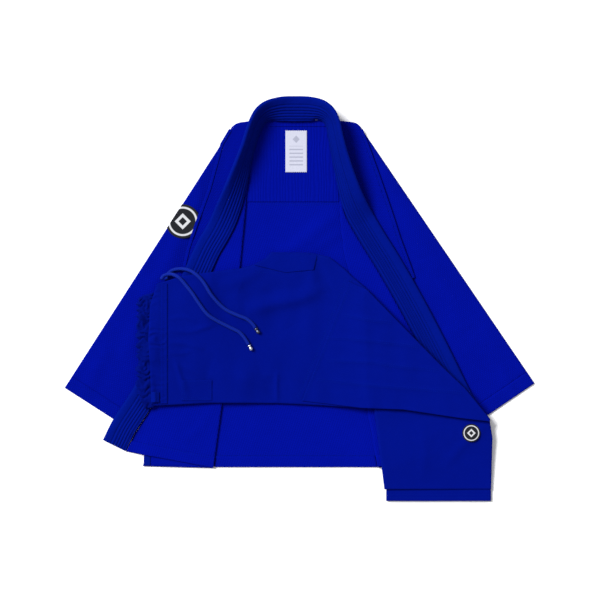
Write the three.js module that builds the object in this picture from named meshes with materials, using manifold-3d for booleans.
// A grappling uniform laid flat: a woven jacket on its back with both fronts folded open, and a pair of
// trousers folded in half and again at the knees, lying across the jacket's lower half.
// Millimetres, +Z up, +Y towards the collar. "Right" and "left" are the wearer's, so the right side has -X.
import * as THREE from 'three';
import { mergeVertices } from 'three/addons/utils/BufferGeometryUtils.js';
import Module from 'manifold-3d';

const wasm = await Module();
wasm.setup();

// ---- Cloth thicknesses and clearances ----
const JACKET_CLOTH = 2;
const TROUSER_CLOTH = 1.6;
const TAPE = 1;
const PATCH = 1.2;
const LABEL = 0.5;
const GAP = 0.3;
const EDGE_GAP = 0.6;
const TUBE_SLACK = 0.5;
const NARROWEST = 3;

// ---- Jacket ----
const BACK_LENGTH = 725;
const HEM_WIDTH = 655;
const SLEEVE_LENGTH = 654;
const CUFF_WIDTH = 172;
const CUFF_HEM = 30;
const HEM_FACING = 24;
const LAPEL_WIDTH = 54;
const LAPEL_THICKNESS = 8;
const LAPEL_COVER = 1.2;
const YOKE_DEPTH = 166;
const LABEL_SIZE = [45, 88];
const SLEEVE_BADGE_RADIUS = 36;
const VENT_PATCH = [14, 34];

// ---- Trousers ----
const THIGH_LENGTH = 702;
const HIP_WIDTH = 321;
const SHIN_DROP = 171;
const LEG_HEM_WIDTH = 224;
const LEG_HEM = 28;
const CASING_WIDTH = 36;
const BACK_WAISTBAND_THICKNESS = 6;
const LEG_BADGE_RADIUS = 19;
const HIP_PATCH = [64, 44];
const BELT_LOOP = [18, 22];

// ---- Drawcord ----
const CORD_DIAMETER = 7;
const CORD_CLEARANCE = 0.8;
const CORD_SIDES = 10;
const CORD_STEPS = 32;
const TIP_LENGTH = 13;
const TIP_SIDES = 16;
const TIP_ROUNDING = 1.5;

// ---- Reach of the sleeves when they swing out ----
const SLEEVE_SWING = 45;
const SWING_STEPS = 15;

// ---- The block the outlines were drafted on: they are graded from it to the sizes above ----
const DRAFT = {
  back: 725, hem: 655, thigh: 702, hip: 321, hemY: -350, centreX: -6, waistX: -305, seatY: -222,
};
// Lattice on which cloth is draped over what lies below it.
const CELL = 36;
const STEEPEST = 0.3;
const TALL = 400;

const rad = THREE.MathUtils.degToRad;

/** A point of the jacket's draft, graded to the jacket's length and hem width. */
function jacket(x, y) {
  const across = DRAFT.centreX + (x - DRAFT.centreX) * HEM_WIDTH / DRAFT.hem;
  const along = DRAFT.hemY + (y - DRAFT.hemY) * BACK_LENGTH / DRAFT.back;
  return new THREE.Vector2(across, along);
}

/** A point of the trousers' draft, graded to the thigh's length and the hip's width. */
function trousers(x, y) {
  const along = DRAFT.waistX + (x - DRAFT.waistX) * THIGH_LENGTH / DRAFT.thigh;
  const across = DRAFT.seatY + (y - DRAFT.seatY) * HIP_WIDTH / DRAFT.hip;
  return new THREE.Vector2(along, across);
}

const points = (place, list) => list.map(([x, y]) => place(x, y));
const shifted = (list, dx, dy = 0) => list.map((p) => new THREE.Vector2(p.x + dx, p.y + dy));
const vector = (x, y) => new THREE.Vector2(x, y);
const box = (x0, y0, x1, y1) => [vector(x0, y0), vector(x1, y0), vector(x1, y1), vector(x0, y1)];

/** The point at a height y on a line of points that falls from its first point to its last. */
function alongLine(line, y) {
  const n = THREE.MathUtils.clamp(line.findIndex((p) => p.y <= y), 1, line.length - 1);
  const [a, b] = [line[n - 1], line[n]];
  return a.clone().lerp(b, THREE.MathUtils.clamp((a.y - y) / (a.y - b.y), 0, 1));
}

/** A disc's outline. */
function disc(centre, radius, sides = 28) {
  return new THREE.Path().absarc(centre.x, centre.y, radius, 0, 2 * Math.PI).getPoints(sides).slice(0, -1);
}

/** A closed three.js geometry as a manifold solid. */
function solid(geometry) {
  geometry.deleteAttribute('normal');
  geometry.deleteAttribute('uv');
  const merged = mergeVertices(geometry, 1e-4);
  const vertProperties = new Float32Array(merged.attributes.position.array);
  const triVerts = new Uint32Array(merged.index.array);
  return new wasm.Manifold(new wasm.Mesh({ numProp: 3, vertProperties, triVerts }));
}

/** An upright prism over an outline, from z = low to z = high. */
function prism(outline, low = -1, high = TALL) {
  const shape = new THREE.Shape(outline);
  const geometry = new THREE.ExtrudeGeometry(shape, { depth: high - low, bevelEnabled: false });
  geometry.translate(0, 0, low);
  return solid(geometry);
}

/** A closed solid from rings of equal length, capped at both ends. */
function loft(rings) {
  const sides = rings[0].length;
  const position = rings.flat().flatMap((p) => [p.x, p.y, p.z]);
  const index = [];
  for (let ring = 0; ring + 1 < rings.length; ring += 1) {
    for (let side = 0; side < sides; side += 1) {
      const a = ring * sides + side;
      const b = ring * sides + (side + 1) % sides;
      index.push(a, a + sides, b, b, a + sides, b + sides);
    }
  }
  const last = (rings.length - 1) * sides;
  for (let side = 1; side + 1 < sides; side += 1) {
    index.push(0, side, side + 1);
    index.push(last, last + side + 1, last + side);
  }
  const geometry = new THREE.BufferGeometry();
  geometry.setAttribute('position', new THREE.Float32BufferAttribute(position, 3));
  geometry.setIndex(index);
  return solid(geometry);
}

// ---- Draping: every piece of cloth is a slab whose height is held at the nodes of one shared lattice ----
const draped = new Map();
const key = (i, j) => `${i},${j}`;

function inside(point, outline) {
  let odd = false;
  outline.forEach((a, n) => {
    const b = outline[(n + 1) % outline.length];
    const crosses = (a.y > point.y) !== (b.y > point.y);
    if (crosses && point.x < a.x + (b.x - a.x) * (point.y - a.y) / (b.y - a.y)) odd = !odd;
  });
  return odd;
}

/** The lattice cells that an outline covers or comes near. */
function cellsUnder(outline) {
  const near = 3;
  const cells = new Set();
  const mark = (x, y) => cells.add(key(Math.floor(x / CELL), Math.floor(y / CELL)));
  outline.forEach((a, n) => {
    const b = outline[(n + 1) % outline.length];
    const steps = Math.ceil(a.distanceTo(b) / near);
    for (let s = 0; s <= steps; s += 1) {
      const p = a.clone().lerp(b, s / steps);
      for (const dx of [-near, near]) for (const dy of [-near, near]) mark(p.x + dx, p.y + dy);
    }
  });
  const bounds = new THREE.Box2().setFromPoints(outline);
  for (let i = Math.floor(bounds.min.x / CELL); i <= bounds.max.x / CELL; i += 1) {
    for (let j = Math.floor(bounds.min.y / CELL); j <= bounds.max.y / CELL; j += 1) {
      if (inside(new THREE.Vector2((i + 0.5) * CELL, (j + 0.5) * CELL), outline)) cells.add(key(i, j));
    }
  }
  return cells;
}

function nodesOf(cells) {
  const nodes = new Set();
  for (const cell of cells) {
    const [i, j] = cell.split(',').map(Number);
    for (const di of [0, 1]) for (const dj of [0, 1]) nodes.add(key(i + di, j + dj));
  }
  return nodes;
}

/** Notes what a piece covers and the height of its top there, for the cloth that is laid on it later. */
function record(name, outlines, top) {
  const tops = draped.get(name) ?? new Map();
  for (const outline of outlines) {
    for (const node of nodesOf(cellsUnder(outline))) tops.set(node, top(node));
  }
  draped.set(name, tops);
}

/** The height at each lattice node of cloth laid over the named pieces, bridging their edges in a slope. */
function restingHeights(outline, on) {
  const heights = new Map();
  for (const node of nodesOf(cellsUnder(outline))) {
    const tops = on.map((name) => draped.get(name).get(node)).filter((top) => top !== undefined);
    heights.set(node, tops.length ? Math.max(...tops) + GAP : 0);
  }
  for (let pass = 0; pass < 8; pass += 1) {
    for (const [node, height] of heights) {
      const [i, j] = node.split(',').map(Number);
      for (const [di, dj] of [[1, 0], [-1, 0], [0, 1], [0, -1]]) {
        const beside = heights.get(key(i + di, j + dj));
        if (beside !== undefined) heights.set(node, Math.max(heights.get(node), beside - STEEPEST * CELL));
      }
    }
  }
  return heights;
}

/** The slab between two heights above the lattice surface, over the whole box of an outline. */
function latticeSlab(outline, heights, low, high) {
  const bounds = new THREE.Box2().setFromPoints(outline);
  const i0 = Math.floor(bounds.min.x / CELL) - 1;
  const j0 = Math.floor(bounds.min.y / CELL) - 1;
  const columns = Math.ceil(bounds.max.x / CELL) + 1 - i0;
  const rows = Math.ceil(bounds.max.y / CELL) + 1 - j0;
  const geometry = new THREE.PlaneGeometry(columns * CELL, rows * CELL, columns, rows);
  const flat = geometry.attributes.position;
  const count = flat.count;
  const position = new Float32Array(count * 6);
  for (let n = 0; n < count; n += 1) {
    const i = i0 + n % (columns + 1);
    const j = j0 + rows - Math.floor(n / (columns + 1));
    const height = heights.get(key(i, j)) ?? 0;
    position.set([i * CELL, j * CELL, height + high], n * 3);
    position.set([i * CELL, j * CELL, height + low], (n + count) * 3);
  }
  const index = [...geometry.index.array];
  const under = [];
  for (let t = 0; t < index.length; t += 3) {
    under.push(index[t] + count, index[t + 2] + count, index[t + 1] + count);
  }
  const rim = [];
  for (let c = 0; c <= columns; c += 1) rim.push(rows * (columns + 1) + c);
  for (let r = rows - 1; r >= 0; r -= 1) rim.push(r * (columns + 1) + columns);
  for (let c = columns - 1; c >= 0; c -= 1) rim.push(c);
  for (let r = 1; r < rows; r += 1) rim.push(r * (columns + 1));
  const wall = rim.flatMap((a, n) => {
    const b = rim[(n + 1) % rim.length];
    return [a + count, b + count, b, a + count, b, a];
  });
  const slab = new THREE.BufferGeometry();
  slab.setAttribute('position', new THREE.BufferAttribute(position, 3));
  slab.setIndex([...index, ...under, ...wall]);
  return solid(slab);
}

/** Cloth of one outline laid over named pieces, and its resting heights; a second outline may trim it. */
function drape(name, outline, thickness, on, clip = null) {
  const heights = restingHeights(outline, on);
  let cloth = latticeSlab(outline, heights, 0, thickness).intersect(prism(outline));
  if (clip) cloth = cloth.intersect(prism(clip));
  record(name, [outline], (node) => heights.get(node) + thickness);
  return { cloth, heights };
}

/** The height of a named piece's top at a point of the plan. */
function topAt(name, x, y) {
  const tops = draped.get(name);
  const i = Math.floor(x / CELL);
  const j = Math.floor(y / CELL);
  const at = (di, dj) => tops.get(key(i + di, j + dj)) ?? 0;
  return Math.max(at(0, 0), at(1, 0), at(0, 1), at(1, 1));
}

// ---- Colours and finishes ----
const cotton = (color, roughness) => new THREE.MeshStandardMaterial({ color, roughness, metalness: 0 });
const FINISH = {
  weave: () => cotton(0x0a1f9e, 0.9),
  trim: () => cotton(0x0b1c86, 0.85),
  twill: () => cotton(0x0b2290, 0.88),
  foam: () => cotton(0xd9d9d2, 0.95),
  label: () => cotton(0xe4e4ea, 0.7),
  badge: () => cotton(0x14151a, 0.8),
  cord: () => cotton(0x0a1a80, 0.8),
  metal: () => new THREE.MeshStandardMaterial({ color: 0xb9bcc2, roughness: 0.35, metalness: 1 }),
};

const uniform = new THREE.Group();

/** Adds a named piece made of a manifold solid. */
function piece(name, shape, finish) {
  const mesh = shape.getMesh();
  const geometry = new THREE.BufferGeometry();
  geometry.setAttribute('position', new THREE.BufferAttribute(new Float32Array(mesh.vertProperties), 3));
  geometry.setIndex(new THREE.BufferAttribute(new Uint32Array(mesh.triVerts), 1));
  geometry.computeVertexNormals();
  const part = new THREE.Mesh(geometry, finish());
  part.name = name;
  uniform.add(part);
}

// ================= Jacket =================
const backTop = JACKET_CLOTH;
const panelLow = backTop + GAP;
const panelTop = panelLow + JACKET_CLOTH;
const sleeveTop = 2 * JACKET_CLOTH + TUBE_SLACK;

// Side edges from the shoulder down over the armhole to the hem, and the lines where the fronts fold open.
const SIDES = {
  right: {
    sign: -1,
    edge: [[-143, 364], [-164, 327], [-190, 233], [-217, 160], [-234, 109], [-244, 63], [-330, -349]],
    shoulder: [[-135, 370], [-127, 373], [-103, 376]],
    neck: [-96, 372],
    fold: [[-105, 293], [-126, 66], [-164, -222], [-182, -353]],
    sleeveAngle: -122.7,
  },
  left: {
    sign: 1,
    edge: [[127, 364], [144, 317], [167, 253], [191, 183], [208, 130], [231, 66], [325, -350]],
    shoulder: [[121, 370], [115, 373], [80, 377]],
    neck: [75, 372],
    fold: [[85, 158], [94, 87], [103, 59], [141, -229], [163, -352]],
    sleeveAngle: -55.8,
  },
};
for (const side of Object.values(SIDES)) {
  side.edgeLine = points(jacket, side.edge);
  side.shoulderLine = points(jacket, side.shoulder);
  side.foldLine = points(jacket, [side.neck, ...side.fold]);
  side.hemCorner = side.edgeLine.at(-1);
  side.pivot = side.edgeLine[0];
}

const backOutline = [
  ...SIDES.right.edgeLine,
  ...SIDES.left.edgeLine.toReversed(),
  ...SIDES.left.shoulderLine,
  ...SIDES.right.shoulderLine.toReversed(),
];
piece('back_panel', prism(backOutline, 0, backTop), FINISH.weave);
record('back_panel', [backOutline], () => backTop);

for (const [name, side] of Object.entries(SIDES)) {
  const outline = [...side.foldLine, ...side.edgeLine.toReversed(), ...side.shoulderLine];
  piece(`${name}_front_panel`, prism(outline, panelLow, panelTop), FINISH.weave);
  record(`${name}_front_panel`, [outline], () => panelTop);
}

// What shows of the back between the folded fronts carries the yoke lining, the hem facing and the label.
const windowOutline = [
  ...shifted(SIDES.right.foldLine, EDGE_GAP),
  ...shifted(SIDES.left.foldLine, -EDGE_GAP).toReversed(),
];
const backWindow = prism(windowOutline);
const yokeTop = panelLow + TAPE;
const neckY = SIDES.right.foldLine[0].y;
const windowStrip = (low, high) => (
  box(SIDES.right.hemCorner.x, low, SIDES.left.hemCorner.x, high)
);
const yokeOutline = windowStrip(neckY - YOKE_DEPTH, neckY);
piece('yoke_lining', prism(yokeOutline, panelLow, yokeTop).intersect(backWindow), FINISH.twill);
record('yoke_lining', [yokeOutline], () => yokeTop);

const hemY = SIDES.left.foldLine.at(-1).y;
const facingOutline = windowStrip(hemY + 1, hemY + HEM_FACING);
piece('back_hem_facing', prism(facingOutline, panelLow, yokeTop).intersect(backWindow), FINISH.trim);
record('back_hem_facing', [facingOutline], () => yokeTop);

const [labelWidth, labelHeight] = LABEL_SIZE;
const labelTop = jacket(-8, 356);
const labelOutline = box(
  labelTop.x - labelWidth / 2, labelTop.y - labelHeight, labelTop.x + labelWidth / 2, labelTop.y,
);
piece('neck_label', prism(labelOutline, yokeTop + GAP, yokeTop + GAP + LABEL), FINISH.label);

// ---- Sleeves: flattened tubes beside the body, with a turned hem at the cuff ----
for (const [name, side] of Object.entries(SIDES)) {
  const along = new THREE.Vector2(Math.cos(rad(side.sleeveAngle)), Math.sin(rad(side.sleeveAngle)));
  const inward = new THREE.Vector2(-side.sign * Math.abs(along.y), -Math.abs(along.x));
  const seam = shifted(side.edgeLine.slice(0, -1), side.sign * EDGE_GAP);
  const reach = (length, across) => (
    seam[0].clone().addScaledVector(along, length).addScaledVector(inward, across)
  );
  const hemStart = SLEEVE_LENGTH - CUFF_HEM;
  const hemInner = reach(hemStart, CUFF_WIDTH);
  const sleeveOutline = [...seam, hemInner, reach(hemStart, 0)];
  const cuffOutline = [
    reach(hemStart + GAP, 0),
    reach(hemStart + GAP, CUFF_WIDTH),
    reach(SLEEVE_LENGTH, CUFF_WIDTH),
    reach(SLEEVE_LENGTH, 0),
  ];
  piece(`${name}_sleeve`, prism(sleeveOutline, 0, sleeveTop), FINISH.weave);
  piece(`${name}_cuff_hem`, prism(cuffOutline, 0, sleeveTop), FINISH.trim);
  const swept = [];
  for (let step = 0; step <= SWING_STEPS; step += 1) {
    const turn = side.sign * rad(SLEEVE_SWING * step / SWING_STEPS);
    for (const outline of [sleeveOutline, cuffOutline]) {
      swept.push(outline.map((p) => p.clone().rotateAround(side.pivot, turn)));
    }
  }
  record(`${name}_sleeve`, swept, () => sleeveTop);
  side.sleeveOutline = sleeveOutline;
}
const badgeCentre = jacket(-246, 165);
const badge = prism(disc(badgeCentre, SLEEVE_BADGE_RADIUS), sleeveTop + GAP, sleeveTop + GAP + PATCH);
piece('sleeve_badge', badge.intersect(prism(shifted(SIDES.right.sleeveOutline, EDGE_GAP))), FINISH.badge);

// ---- The band: right lapel, collar and left lapel on one line, the band's free edge ----
// Each point is x, y and the angle in degrees at which the band stands up off the cloth there.
const BAND_LINE = [
  [-414, -294, 0], [-394, -254, 0], [-341, -169, 0], [-290, -45, 0], [-240, 69, 0], [-217, 119, 0],
  [-193, 161, 0],
  [-170, 210, 22], [-147, 260, 44], [-123, 317, 62], [-103, 376, 60], [-90, 399, 50], [-72, 414, 38],
  [-42, 424, 24], [-12, 426, 18], [24, 424, 24], [51, 415, 38], [69, 399, 50], [80, 377, 60], [88, 342, 60],
  [100, 300, 54], [117, 253, 42], [134, 216, 24], [157, 176, 0], [181, 136, 0], [208, 93, 0], [260, 2, 0],
  [307, -88, 0], [360, -195, 0], [387, -243, 0], [396, -288, 0],
];
const RIGHT_SEAM = 6;
const LEFT_SEAM = 23;
const STATIONS_PER_POINT = 2;
const bandCurve = new THREE.CatmullRomCurve3(BAND_LINE.map(([x, y, bank]) => {
  const p = jacket(x, y);
  return new THREE.Vector3(p.x, p.y, bank);
}), false, 'centripetal');

/** The band's free edge, inward direction and standing angle at a knot of its line, or between two. */
function bandStation(knot) {
  const t = THREE.MathUtils.clamp(knot / (BAND_LINE.length - 1), 0, 1);
  const p = bandCurve.getPoint(t);
  const tangent = bandCurve.getTangent(t);
  const travel = new THREE.Vector2(tangent.x, tangent.y).normalize();
  const inward = new THREE.Vector2(travel.y, -travel.x);
  const beyond = (knot - t * (BAND_LINE.length - 1)) * LAPEL_WIDTH;
  const free = new THREE.Vector2(p.x, p.y).addScaledVector(travel, beyond);
  return { free, inward, bank: rad(Math.max(p.z, 0)) };
}

const knots = (from, to) => {
  const count = Math.round((to - from) * STATIONS_PER_POINT);
  return Array.from({ length: count + 1 }, (_, n) => from + (to - from) * n / count);
};

/** A point a given distance in from the band's free edge, measured on the flat. */
const acrossBand = (knot, distance) => {
  const { free, inward } = bandStation(knot);
  return free.clone().addScaledVector(inward, distance);
};

/** The outline of a flat stretch of band, drawn in from both long edges by an inset. */
function bandOutline(from, to, inset) {
  const freeEdge = knots(from, to).map((knot) => acrossBand(knot, inset));
  const seamEdge = knots(from, to).map((knot) => acrossBand(knot, LAPEL_WIDTH - inset));
  return [...freeEdge, ...seamEdge.toReversed()];
}

/** A stretch of standing band, as a swept box of a width and thickness centred in the band. */
function standingBand(from, to, inset, thickness, base) {
  const rings = knots(from, to).map((knot) => {
    const { free, inward, bank } = bandStation(knot);
    const spread = LAPEL_WIDTH * Math.cos(bank);
    const seam = free.clone().addScaledVector(inward, spread);
    const middle = base + LAPEL_THICKNESS / 2 * Math.cos(bank);
    const corner = (distance, side) => {
      const out = -distance * Math.cos(bank) + side * thickness / 2 * Math.sin(bank);
      const up = distance * Math.sin(bank) + side * thickness / 2 * Math.cos(bank);
      return new THREE.Vector3(seam.x + inward.x * out, seam.y + inward.y * out, middle + up);
    };
    const far = LAPEL_WIDTH - inset;
    return [corner(inset, -1), corner(inset, 1), corner(far, 1), corner(far, -1)];
  });
  return loft(rings);
}

const CORE_INSET = 2 * LAPEL_COVER;
const HOLLOW = LAPEL_THICKNESS - 2 * LAPEL_COVER;
const CORE = HOLLOW - 2 * GAP;
const COLLAR_CORE = HOLLOW - 6 * GAP;
const END_STEP = 0.01;
const collarBase = panelTop + 2 * GAP;

const collar = standingBand(RIGHT_SEAM, LEFT_SEAM, 0, LAPEL_THICKNESS, collarBase);
const hollowEnds = [RIGHT_SEAM - END_STEP, LEFT_SEAM + END_STEP];
const collarHollow = standingBand(...hollowEnds, LAPEL_COVER, HOLLOW, collarBase);
piece('collar_cover', collar.subtract(collarHollow), FINISH.trim);
piece('collar_core', standingBand(RIGHT_SEAM, LEFT_SEAM, CORE_INSET, COLLAR_CORE, collarBase), FINISH.foam);

const BANDS = {
  right: { from: 0, to: RIGHT_SEAM - END_STEP },
  left: { from: LEFT_SEAM + END_STEP, to: BAND_LINE.length - 1 },
};
for (const [name, side] of Object.entries(SIDES)) {
  const { from, to } = BANDS[name];
  const under = ['back_panel', `${name}_front_panel`, `${name}_sleeve`];
  const outline = bandOutline(from, to, 0);
  const { cloth, heights } = drape(`${name}_lapel_cover`, outline, LAPEL_THICKNESS, under);
  const closed = END_STEP * 3;
  const cavityFrom = name === 'right' ? from + closed : from - END_STEP;
  const cavityTo = name === 'right' ? to + END_STEP : to - closed;
  const cavityOutline = bandOutline(cavityFrom, cavityTo, LAPEL_COVER);
  const coreFrom = Math.max(cavityFrom, from) + END_STEP;
  const coreTo = Math.min(cavityTo, to) - END_STEP;
  const coreOutline = bandOutline(coreFrom, coreTo, CORE_INSET);
  const hollow = latticeSlab(outline, heights, LAPEL_COVER, LAPEL_COVER + HOLLOW);
  const cavity = hollow.intersect(prism(cavityOutline));
  const coreLow = LAPEL_COVER + GAP;
  const core = latticeSlab(outline, heights, coreLow, coreLow + CORE).intersect(prism(coreOutline));
  piece(`${name}_lapel_cover`, cloth.subtract(cavity), FINISH.trim);
  piece(`${name}_lapel_core`, core, FINISH.foam);

  // The folded-open front lies between its fold line and the band's seam edge, up to where the two meet.
  const seamKnots = name === 'right' ? knots(from, RIGHT_SEAM + 2) : knots(LEFT_SEAM - 2, to).toReversed();
  const seamEdge = seamKnots.map((knot) => {
    const { bank } = bandStation(knot);
    return acrossBand(knot, LAPEL_WIDTH * Math.cos(bank) + EDGE_GAP);
  });
  const beyondFold = seamEdge.filter((p) => side.sign * (p.x - alongLine(side.foldLine, p.y).x) > NARROWEST);
  const apex = alongLine(side.foldLine, beyondFold.at(-1).y + NARROWEST);
  const foldBelow = side.foldLine.filter((p) => p.y < apex.y - NARROWEST);
  const flapOutline = [...beyondFold, apex, ...foldBelow];
  const flap = drape(`${name}_front_flap`, flapOutline, JACKET_CLOTH, under);
  piece(`${name}_front_flap`, flap.cloth, FINISH.weave);

  const hemStart = flapOutline[0];
  const hemEnd = flapOutline.at(-1);
  const hemWay = hemEnd.clone().sub(hemStart).normalize();
  const up = new THREE.Vector2(-hemWay.y, hemWay.x).multiplyScalar(hemWay.x > 0 ? 1 : -1);
  const stripOutline = [hemStart, hemEnd, hemEnd, hemStart].map((p, n) => (
    p.clone().addScaledVector(up, n < 2 ? 1 : HEM_FACING)
  ));
  const hemFacing = drape(`${name}_flap_facing`, stripOutline, TAPE, [`${name}_front_flap`], flapOutline);
  piece(`${name}_flap_facing`, hemFacing.cloth, FINISH.trim);

  const [ventWidth, ventHeight] = VENT_PATCH;
  const corner = side.hemCorner.clone().add(new THREE.Vector2(-side.sign * 2, 2));
  const inner = corner.x - side.sign * ventWidth;
  const [ventLeft, ventRight] = [Math.min(corner.x, inner), Math.max(corner.x, inner)];
  const ventOutline = box(ventLeft, corner.y, ventRight, corner.y + ventHeight);
  const vent = prism(ventOutline, panelTop + GAP, panelTop + GAP + TAPE);
  piece(`${name}_vent_patch`, vent.subtract(prism(shifted(flapOutline, 0, -GAP * 2))), FINISH.trim);
}

// ================= Trousers =================
const JACKET_PIECES = [
  'back_panel', 'yoke_lining', 'back_hem_facing', 'right_front_panel', 'left_front_panel', 'right_sleeve',
  'left_sleeve', 'right_lapel_cover', 'left_lapel_cover', 'right_front_flap', 'left_front_flap',
  'right_flap_facing', 'left_flap_facing',
];
const LEG = 2 * TROUSER_CLOTH + TUBE_SLACK;

// The thighs: waist at the left, crotch at the top, and the slanting line at the right where the knees fold.
const WAIST_LINE = [[-311, -222], [-313, -140], [-317, -82], [-313, -10], [-299, 34]];
const CROTCH_LINE = [
  [-290, 37], [-244, 51], [-207, 56], [-126, 66], [-99, 73], [-74, 86], [-61, 100], [20, 99], [62, 90],
  [96, 63],
];
const KNEE_FOLD = [[111, 48], [140, 23], [207, -46], [252, -92], [298, -139], [346, -185], [397, -248]];
const OUT_SEAM = [
  [397, -254], [330, -246], [263, -236], [216, -229], [129, -226], [39, -221], [-45, -217], [-188, -216],
];
const thighOutline = points(trousers, [...WAIST_LINE, ...CROTCH_LINE, ...KNEE_FOLD, ...OUT_SEAM]);
const knee = trousers(397, -254);
const insideKnee = trousers(140, 19);

// The lower legs, folded under, hang down from the knee fold.
const shinHemY = knee.y - SHIN_DROP + LEG_HEM;
const hemRight = knee.x + 4;
const hemLeft = hemRight - LEG_HEM_WIDTH;
const shinOutline = [
  new THREE.Vector2(hemLeft, shinHemY),
  new THREE.Vector2(hemRight, shinHemY),
  new THREE.Vector2(knee.x + 6, knee.y - 34),
  new THREE.Vector2(knee.x - 1, knee.y + 6),
  ...points(trousers, [[345, -190], [297, -144], [250, -96], [205, -50]]),
  insideKnee,
  new THREE.Vector2(insideKnee.x + 8, insideKnee.y - 190),
];
const legHemOutline = box(hemLeft + 4, shinHemY - LEG_HEM, hemRight, shinHemY - GAP);

const laid = [...JACKET_PIECES];
/** Lays a leg piece over everything laid so far, then counts it as laid. */
function layLeg(name, outline, thickness, finish) {
  piece(name, drape(name, outline, thickness, laid).cloth, finish);
  laid.push(name);
}
layLeg('near_shin', shinOutline, LEG, FINISH.twill);
piece('near_leg_hem', drape('near_leg_hem', legHemOutline, LEG, JACKET_PIECES).cloth, FINISH.trim);
layLeg('far_shin', shinOutline, LEG, FINISH.twill);
const farHem = drape('far_leg_hem', legHemOutline, LEG, ['near_leg_hem', 'near_shin']);
piece('far_leg_hem', farHem.cloth, FINISH.trim);

const waistX = trousers(-305, 0).x;
const backWaistOutline = [
  ...points(trousers, [[-309, 15], [-328, 10], [-341, 0], [-341, -186], [-333, -212], [-326, -227]]),
  new THREE.Vector2(waistX, trousers(0, -225).y),
  new THREE.Vector2(waistX, trousers(0, 15).y),
];
layLeg('back_waistband', backWaistOutline, BACK_WAISTBAND_THICKNESS, FINISH.trim);
const farThighOutline = thighOutline.map((p) => new THREE.Vector2(Math.max(p.x, waistX + EDGE_GAP), p.y));
const farThigh = drape('far_thigh', farThighOutline, LEG, laid.filter((name) => name !== 'back_waistband'));
piece('far_thigh', farThigh.cloth, FINISH.twill);
laid.push('far_thigh');
layLeg('near_thigh', thighOutline, LEG, FINISH.twill);

/** Sews a flat trim onto named pieces, clipped to the near leg's outline. */
function trim(name, outline, thickness, on, finish) {
  piece(name, drape(name, outline, thickness, on, thighOutline).cloth, finish);
}
const casingInner = waistX + CASING_WIDTH - 8;
const casingOutline = box(waistX - 20, trousers(0, -217).y, casingInner, trousers(0, 34).y);
trim('waistband_casing', casingOutline, PATCH, ['near_thigh'], FINISH.trim);
const kneePatch = points(trousers, [[102, 40], ...KNEE_FOLD.slice(1), ...OUT_SEAM.slice(0, 5), [5, -212]]);
trim('knee_patch', kneePatch.map((p) => new THREE.Vector2(p.x - 1, p.y)), TAPE, ['near_thigh'], FINISH.twill);
const gusset = points(trousers, [[-96, 73], [-74, 84], [-60, 97], [19, 96], [36, 93], [29, 63], [-30, 57]]);
trim('crotch_gusset', gusset, TAPE, ['near_thigh'], FINISH.twill);
const [patchLength, patchHeight] = HIP_PATCH;
const patchCorner = trousers(-248, -211);
const hipPatch = box(patchCorner.x, patchCorner.y, patchCorner.x + patchLength, patchCorner.y + patchHeight);
trim('hip_patch', hipPatch, TAPE, ['near_thigh'], FINISH.twill);
const [loopLength, loopHeight] = BELT_LOOP;
const loopCorner = trousers(-312, -214);
const beltLoop = box(loopCorner.x, loopCorner.y, loopCorner.x + loopLength, loopCorner.y + loopHeight);
trim('belt_loop', beltLoop, PATCH, ['near_thigh', 'waistband_casing'], FINISH.trim);
const legBadge = disc(new THREE.Vector2(knee.x - 39, knee.y - 24), LEG_BADGE_RADIUS, 20);
const badgeOn = drape('leg_badge', legBadge, PATCH, ['far_shin']).cloth;
const clearOfThigh = prism(shifted(thighOutline, 0, -EDGE_GAP * 2), -1, TALL);
piece('leg_badge', badgeOn.subtract(clearOfThigh), FINISH.badge);

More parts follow.
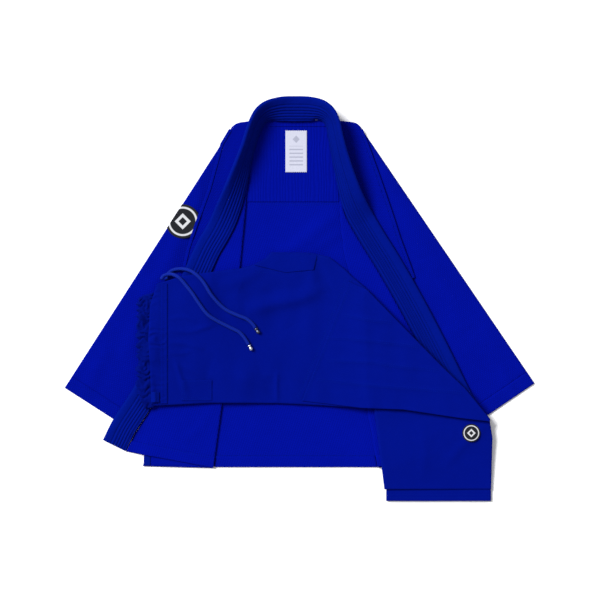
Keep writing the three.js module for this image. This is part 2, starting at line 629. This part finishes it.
// ---- Drawcord: both ends leave the top of the waistband casing and curl down over the near leg ----
// Each point is x, y and how many diameters the cord lies above its rest on the leg, or below it past its edge.
const CORDS = {
  lower: [
    [-290, 43, -0.7], [-287, 49, -0.3], [-280, 53, 0.15], [-268, 54, 0.15], [-253, 47, 0.15], [-239, 32, 0],
    [-224, 13, 0], [-212, -5, 0], [-193, -30, 0], [-174, -43, 0], [-145, -58, 0], [-126, -68, 0],
    [-114, -82, 0], [-107, -94, 0],
  ],
  upper: [
    [-280, 43, -1], [-279, 50, -1.15], [-273, 59, -0.9], [-262, 64, -0.4], [-246, 65, -0.1], [-229, 61, 0],
    [-212, 49, 0], [-200, 35, 0], [-186, 12, 0], [-169, -8, 0], [-152, -22, 0], [-128, -33, 0],
    [-111, -40, 0], [-99, -50, 0], [-93, -59, 0],
  ],
};
const ON_LEG = ['near_thigh', 'waistband_casing'];
for (const [name, list] of Object.entries(CORDS)) {
  const chosen = list.map(([x, y, rise]) => {
    const p = trousers(x, y);
    return new THREE.Vector3(p.x, p.y, rise);
  });
  const plan = new THREE.CatmullRomCurve3(chosen, false, 'centripetal').getPoints(CORD_STEPS);
  const rests = plan.map((p) => Math.max(...ON_LEG.map((on) => topAt(on, p.x, p.y))));
  const route = plan.map((p, n) => {
    const rest = Math.max(rests[Math.max(n - 1, 0)], rests[n], rests[Math.min(n + 1, CORD_STEPS)]);
    return new THREE.Vector3(p.x, p.y, rest + CORD_DIAMETER * (p.z + 0.5) + CORD_CLEARANCE);
  });
  const curve = new THREE.CatmullRomCurve3(route, false, 'centripetal');
  const section = new THREE.Shape(disc(new THREE.Vector2(), CORD_DIAMETER / 2, CORD_SIDES));
  const tube = new THREE.ExtrudeGeometry(section, { steps: CORD_STEPS, extrudePath: curve });
  piece(`drawcord_${name}`, solid(tube), FINISH.cord);

  const end = curve.getPoint(1);
  const way = curve.getTangent(1);
  const radius = CORD_DIAMETER / 2;
  const round = radius - TIP_ROUNDING;
  const profile = [[0, 0], [radius, 0], [radius, TIP_LENGTH - TIP_ROUNDING], [round, TIP_LENGTH], [0, TIP_LENGTH]];
  const tip = new THREE.LatheGeometry(profile.map(([r, h]) => new THREE.Vector2(r, h)), TIP_SIDES);
  tip.applyQuaternion(new THREE.Quaternion().setFromUnitVectors(new THREE.Vector3(0, 1, 0), way));
  tip.translate(end.x + way.x * GAP, end.y + way.y * GAP, end.z + way.z * GAP);
  piece(`${name}_cord_tip`, solid(tip), FINISH.metal);
}

// The origin is the middle of the underside of the whole laid-out uniform.
const bounds = new THREE.Box3().setFromObject(uniform);
const middle = bounds.getCenter(new THREE.Vector3());
uniform.position.set(-middle.x, -middle.y, -bounds.min.z);

export default uniform;
